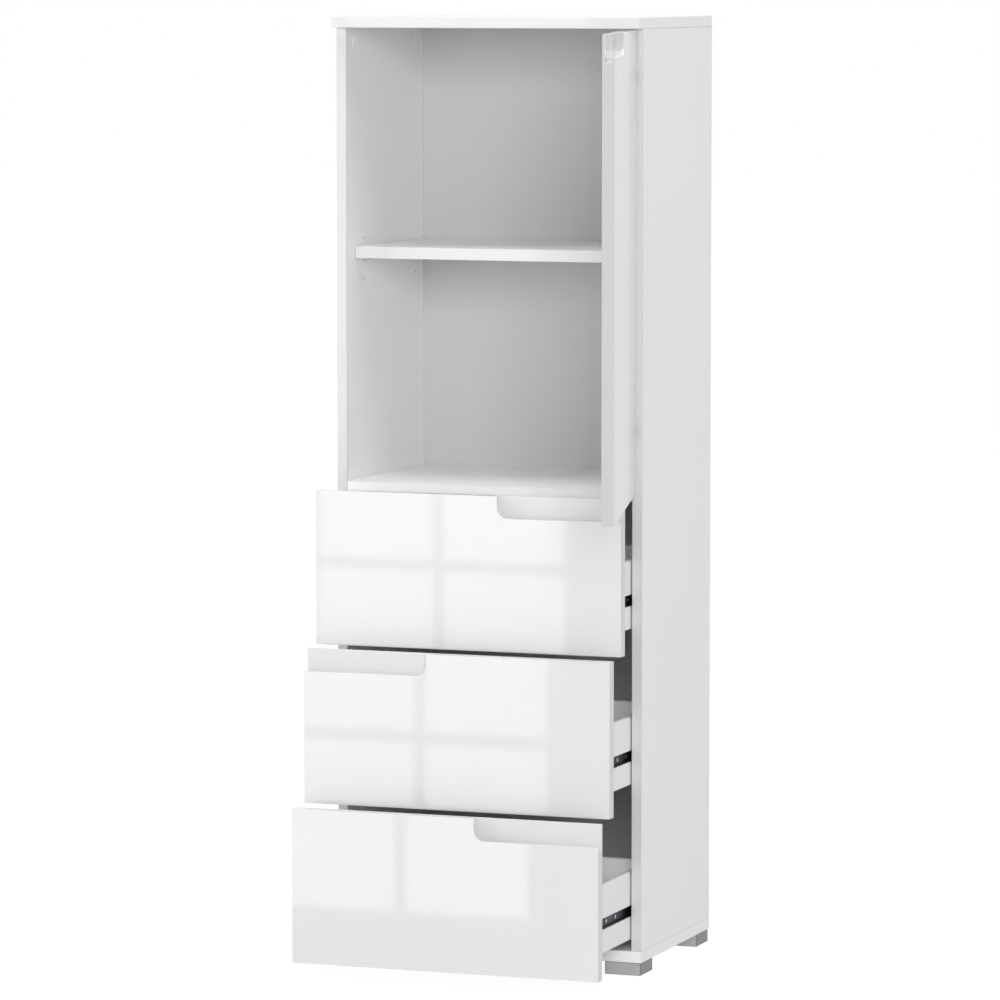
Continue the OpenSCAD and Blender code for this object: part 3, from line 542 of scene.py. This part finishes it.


# each board's softened edges take a darker grey, painted shade along its corners
boards = {
    "topBoard": {"node": "top_panel", "edge": 0.0010, "joint": "paleJoint"},
    "leftSide": {"node": "left_side_panel", "edge": 0.0006, "joint": "edgeJoint"},
    "rightSide": {"node": "right_side_panel", "edge": 0.0006, "joint": "edgeJoint"},
    "bottomBoard": {"node": "bottom_panel", "edge": 0.0006, "joint": "paleJoint"},
    "dividerBoard": {"node": "divider_panel", "edge": 0.0005, "joint": "paleJoint"},
    "looseShelf": {"node": "adjustable_shelf", "edge": 0.0006, "joint": "paleJoint"},
}
for name, board in boards.items():
    piece = mergedCopy(board["node"], name)
    piece.data.materials.append(finishes[board["joint"]])
    soften(piece, longEdge, board["edge"], slot=softening["jointSlot"])
    closeUp(piece, board["node"])
print("carcass boards softened")

feet = {"edge": 0.0008, "steps": 3, "rim": "footRim"}
for corner in ("front_left", "front_right", "back_left", "back_right"):
    piece = mergedCopy("foot_" + corner, "foot" + corner.title().replace("_", ""))
    piece.data.materials.append(finishes[feet["rim"]])
    soften(piece, longEdge, feet["edge"], feet["steps"], softening["jointSlot"])
    closeUp(piece, "foot_" + corner)
print("feet softened")

frontShape = {
    "edge": 0.0004, "steps": 3, "pullHeight": 0.0412, "pullEdge": 0.0003,
    "along": 0.9, "endFrom": 0.248, "webFrom": 0.001,
}


def freeEdge(normal, middle):
    # the open door's free edge looks forward
    return normal.y < -frontShape["along"]


def outerEnd(normal, middle):
    # the two ends of a drawer front, and not the end of its pull
    return abs(normal.x) > frontShape["along"] and abs(middle.x) > frontShape["endFrom"]


fronts = {
    "doorLeaf": {"node": "door_panel", "end": freeEdge, "paintWeb": False},
    "upperFront": {"node": "upper_drawer_front", "end": outerEnd, "paintWeb": True},
    "middleFront": {"node": "middle_drawer_front", "end": outerEnd, "paintWeb": True},
    "lowerFront": {"node": "lower_drawer_front", "end": outerEnd, "paintWeb": True},
}
for name, front in fronts.items():
    piece = mergedCopy(front["node"], name)
    frontLow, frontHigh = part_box(front["node"])
    pullFrom = frontHigh.z - frontShape["pullHeight"]
    webFrom = frontLow.y + frontShape["webFrom"]

    def frontEdge(first, second, length):
        inPull = min(first.z, second.z) > pullFrom
        return longEdge(first, second, length) or (inPull and length > frontShape["pullEdge"])

    def pullWeb(normal, middle):
        # the thin wall that is left behind the finger pull
        return normal.y < -frontShape["along"] and middle.y > webFrom and middle.z > pullFrom

    # the end faces and the door's free edge take the darker grey: a greyer edge band, darkened
    # further as painted shade
    paintFaces(piece, finishes["frontEnd"], front["end"])
    if front["paintWeb"]:
        paintFaces(piece, finishes["pullGloss"], pullWeb)
    soften(piece, frontEdge, frontShape["edge"], frontShape["steps"])
    closeUp(piece, front["node"])
print("door and drawer fronts softened")

drawerBoards = {"edge": 0.0004, "steps": 2}
for level in ("upper", "middle", "lower"):
    for part in ("left_side", "right_side", "back"):
        node = level + "_drawer_" + part
        piece = mergedCopy(node, level + "Drawer" + part.title().replace("_", ""))
        soften(piece, longEdge, drawerBoards["edge"], drawerBoards["steps"])
        closeUp(piece, node)
print("drawer boards softened")

# the caps get a shallow dish and a rounded rim
caps = {
    "dishRim": 0.0014, "dishDepth": 0.00025, "edge": 0.0003, "smoothWithin": 25,
    "along": 0.99, "faceArea": 0.0001,  # the caps' round faces look to the cabinet's middle
    "rimAt": 0.2332, "rimPlay": 0.0001, "rimEdge": 0.0009,  # where the rims lie, from the middle
}
capPiece = mergedCopy("cam_caps", "camCaps")
shape = bmesh.from_edit_mesh(capPiece.data)
bpy.context.tool_settings.mesh_select_mode = (False, False, True)
for face in shape.faces:
    inwards = face.normal.x * -math.copysign(1, face.calc_center_median().x) > caps["along"]
    face.select_set(inwards and face.calc_area() > caps["faceArea"])
bmesh.update_edit_mesh(capPiece.data)
bpy.ops.mesh.inset(thickness=caps["dishRim"], depth=0)
bpy.ops.mesh.inset(thickness=caps["dishDepth"], depth=-caps["dishDepth"])
bpy.ops.mesh.select_all(action="DESELECT")


def capRim(first, second, length):
    onRim = all(abs(abs(end.x) - caps["rimAt"]) < caps["rimPlay"] for end in (first, second))
    return onRim and length > caps["rimEdge"]


soften(capPiece, capRim, caps["edge"])
closeUp(capPiece, "cam_caps", caps["smoothWithin"])
print("cam caps dished")

# the hinges' steel gets small rounded edges
hingeSteel = {
    "longFrom": 0.0035,
    "edges": {
        "hinge_cups": 0.0003, "hinge_arms": 0.0005, "hinge_plates": 0.0004, "hinge_links": 0.0003},
}


def steelEdge(first, second, length):
    return length > hingeSteel["longFrom"]


for node, edge in hingeSteel["edges"].items():
    words = node.split("_")
    piece = mergedCopy(node, words[0] + words[1].title())
    soften(piece, steelEdge, edge)
    closeUp(piece, node)
print("hinges softened")


# studio

plainWhite = evenGrey(1.0)
room = {"light": 0.23, "seen": 1.0}
softboxes = {
    "topLight": {
        "power": 120.0, "place": (0.6, -0.6, 5.0), "size": 3.0, "target": (0, 0, 0.9)},
    "rightKey": {
        "power": 270.0, "place": (3.0, -7.2, 2.3), "size": 2.4, "target": (0, 0, 0.7)},
    "rightSide": {
        "power": 75.0, "place": (6.0, 0.6, 1.8), "size": 2.4, "target": (0, 0, 0.8)},
    "leftSide": {
        "power": 105.0, "place": (-4.6, -1.8, 1.7), "size": 2.2, "target": (0, -0.2, 0.7)},
}

# the room lights the cabinet softly, and is white where the camera or a reflection sees it
world = bpy.data.worlds.new("studioRoom")
bpy.context.scene.world = world
world.use_nodes = True
sky = world.node_tree
sky.nodes.clear()
rays = addNode(sky, "ShaderNodeLightPath", (-600, 200)).outputs
seen = addMath(sky, "MAXIMUM", (-300, 200), rays["Is Camera Ray"], rays["Is Glossy Ray"])
seenAll = addMath(sky, "MAXIMUM", (-120, 200), seen, rays["Is Transmission Ray"])
roomLight = addStep(
    sky, "ShaderNodeBackground", (0, 100), Color=plainWhite, Strength=room["light"])
whiteView = addStep(
    sky, "ShaderNodeBackground", (0, -100), Color=plainWhite, Strength=room["seen"])
skyMix = addStep(sky, "ShaderNodeMixShader", (250, 0), seenAll, roomLight, whiteView)
addNode(sky, "ShaderNodeOutputWorld", (500, 0), Surface=skyMix)

# the floor: white in the picture, with the cabinet's faint shadow on it
floorLook = {
    "size": 60, "shade": 0.09, "nearGlow": 0.955, "farGlow": 1.0, "glowReach": (0.6, 1.8),
    "grey": 0.6, "bounce": 0.22,  # what the cabinet gets back from it
}
deselectAll()
bpy.ops.mesh.primitive_plane_add(size=floorLook["size"], location=(0, 0, 0))
floor = bpy.context.active_object
floor.name = "studioFloor"
floorPaint, paint = startMaterial("floorPaint")
floorCoords = addNode(paint, "ShaderNodeTexCoord", (-800, 0))
reach = addNode(paint, "ShaderNodeVectorMath", (-600, 0), operation="LENGTH")
feed(paint, reach.inputs[0], floorCoords.outputs["Object"])
# the glow is a little weaker near the cabinet: a painted dimming around it, so its faint shadow
# shows
glowNear, glowFar = floorLook["glowReach"]
glowFade = addStep(
    paint, "ShaderNodeMapRange", (-400, 0), Value=reach.outputs["Value"],
    From_Min=glowNear, From_Max=glowFar,
    To_Min=floorLook["nearGlow"], To_Max=floorLook["farGlow"])
shadowPart = addStep(
    paint, "ShaderNodeBsdfDiffuse", (0, 150), Color=evenGrey(floorLook["shade"]))
glowPart = addStep(paint, "ShaderNodeEmission", (0, 0), Color=plainWhite, Strength=glowFade)
bouncePart = addStep(
    paint, "ShaderNodeBsdfDiffuse", (-150, -150), Color=evenGrey(floorLook["grey"]))
liftPart = addStep(
    paint, "ShaderNodeEmission", (-150, -300), Color=plainWhite, Strength=floorLook["bounce"])
viewPart = addStep(paint, "ShaderNodeAddShader", (250, 80), shadowPart, glowPart)
underPart = addStep(paint, "ShaderNodeAddShader", (80, -200), bouncePart, liftPart)
cameraRay = addNode(paint, "ShaderNodeLightPath", (0, 500)).outputs["Is Camera Ray"]
choose = addStep(paint, "ShaderNodeMixShader", (480, 0), cameraRay, underPart, viewPart)
addNode(paint, "ShaderNodeOutputMaterial", (700, 0), Surface=choose)
floor.data.materials.append(floorPaint)
floor.visible_glossy = False

# a paned window light whose mirror image lies on the gloss fronts
windowLight = {
    "right": -0.535, "low": -0.2233, "pane": (0.255, 0.3160), "columns": 5, "rows": 7,
    "distance": -2.216, "bar": 0.022, "power": 3.4,
}
paneWidth, paneHeight = windowLight["pane"]
across, tall = paneWidth * windowLight["columns"], paneHeight * windowLight["rows"]
cardPlace = (
    windowLight["right"] - across / 2, windowLight["distance"], windowLight["low"] + tall / 2)
bpy.ops.mesh.primitive_grid_add(
    x_subdivisions=windowLight["columns"], y_subdivisions=windowLight["rows"], size=1,
    location=cardPlace, rotation=(math.radians(-90), 0, 0))
card = bpy.context.active_object
card.name = "windowCard"
card.scale = (across, tall, 1)
bpy.ops.object.transform_apply(location=True, rotation=True, scale=True)
bpy.ops.object.mode_set(mode="EDIT")
bpy.ops.mesh.select_mode(type="FACE")
bpy.ops.mesh.select_all(action="SELECT")
bpy.ops.mesh.inset(thickness=windowLight["bar"] / 2, use_individual=True)
bpy.ops.mesh.select_all(action="INVERT")
bpy.ops.mesh.delete(type="FACE")
bpy.ops.object.mode_set(mode="OBJECT")
for point in card.data.vertices:
    # the outer panes reach the full edge of the opening
    if point.co.x > windowLight["right"] - windowLight["bar"]:
        point.co.x += windowLight["bar"] / 2
    if point.co.z < windowLight["low"] + windowLight["bar"]:
        point.co.z -= windowLight["bar"] / 2
windowGlow, cardTree = startMaterial("windowGlow")
cardLamp = addStep(
    cardTree, "ShaderNodeEmission", (0, 0), Color=plainWhite, Strength=windowLight["power"])
addNode(cardTree, "ShaderNodeOutputMaterial", (300, 0), Surface=cardLamp)
card.data.materials.append(windowGlow)
card.visible_camera = False
card.visible_diffuse = False
card.visible_transmission = False
card.visible_volume_scatter = False
card.visible_shadow = False


def addSoftbox(name, power, place, size, target):
    bpy.ops.object.light_add(type="AREA", location=place)
    lamp = bpy.context.active_object
    lamp.name = name
    lamp.data.shape = "SQUARE"
    lamp.data.size = size
    lamp.data.energy = power
    lamp.rotation_euler = (Vector(target) - Vector(place)).to_track_quat("-Z", "Y").to_euler()
    lamp.visible_glossy = False


for name, softbox in softboxes.items():
    addSoftbox(name, **softbox)

# the photograph's viewpoint
camera = {
    "place": (3.0132, -8.3014, 1.5550), "turn": (math.radians(84.55), 0, math.radians(20.21)),
    "lens": 203.6, "sensor": 36.0, "farthest": 200,
}
bpy.ops.object.camera_add(location=camera["place"], rotation=camera["turn"])
eye = bpy.context.active_object
eye.name = "photoCamera"
eye.data.lens = camera["lens"]
eye.data.sensor_width = camera["sensor"]
eye.data.clip_end = camera["farthest"]
bpy.context.scene.camera = eye
bpy.context.scene.view_settings.view_transform = "Standard"
print("studio ready")
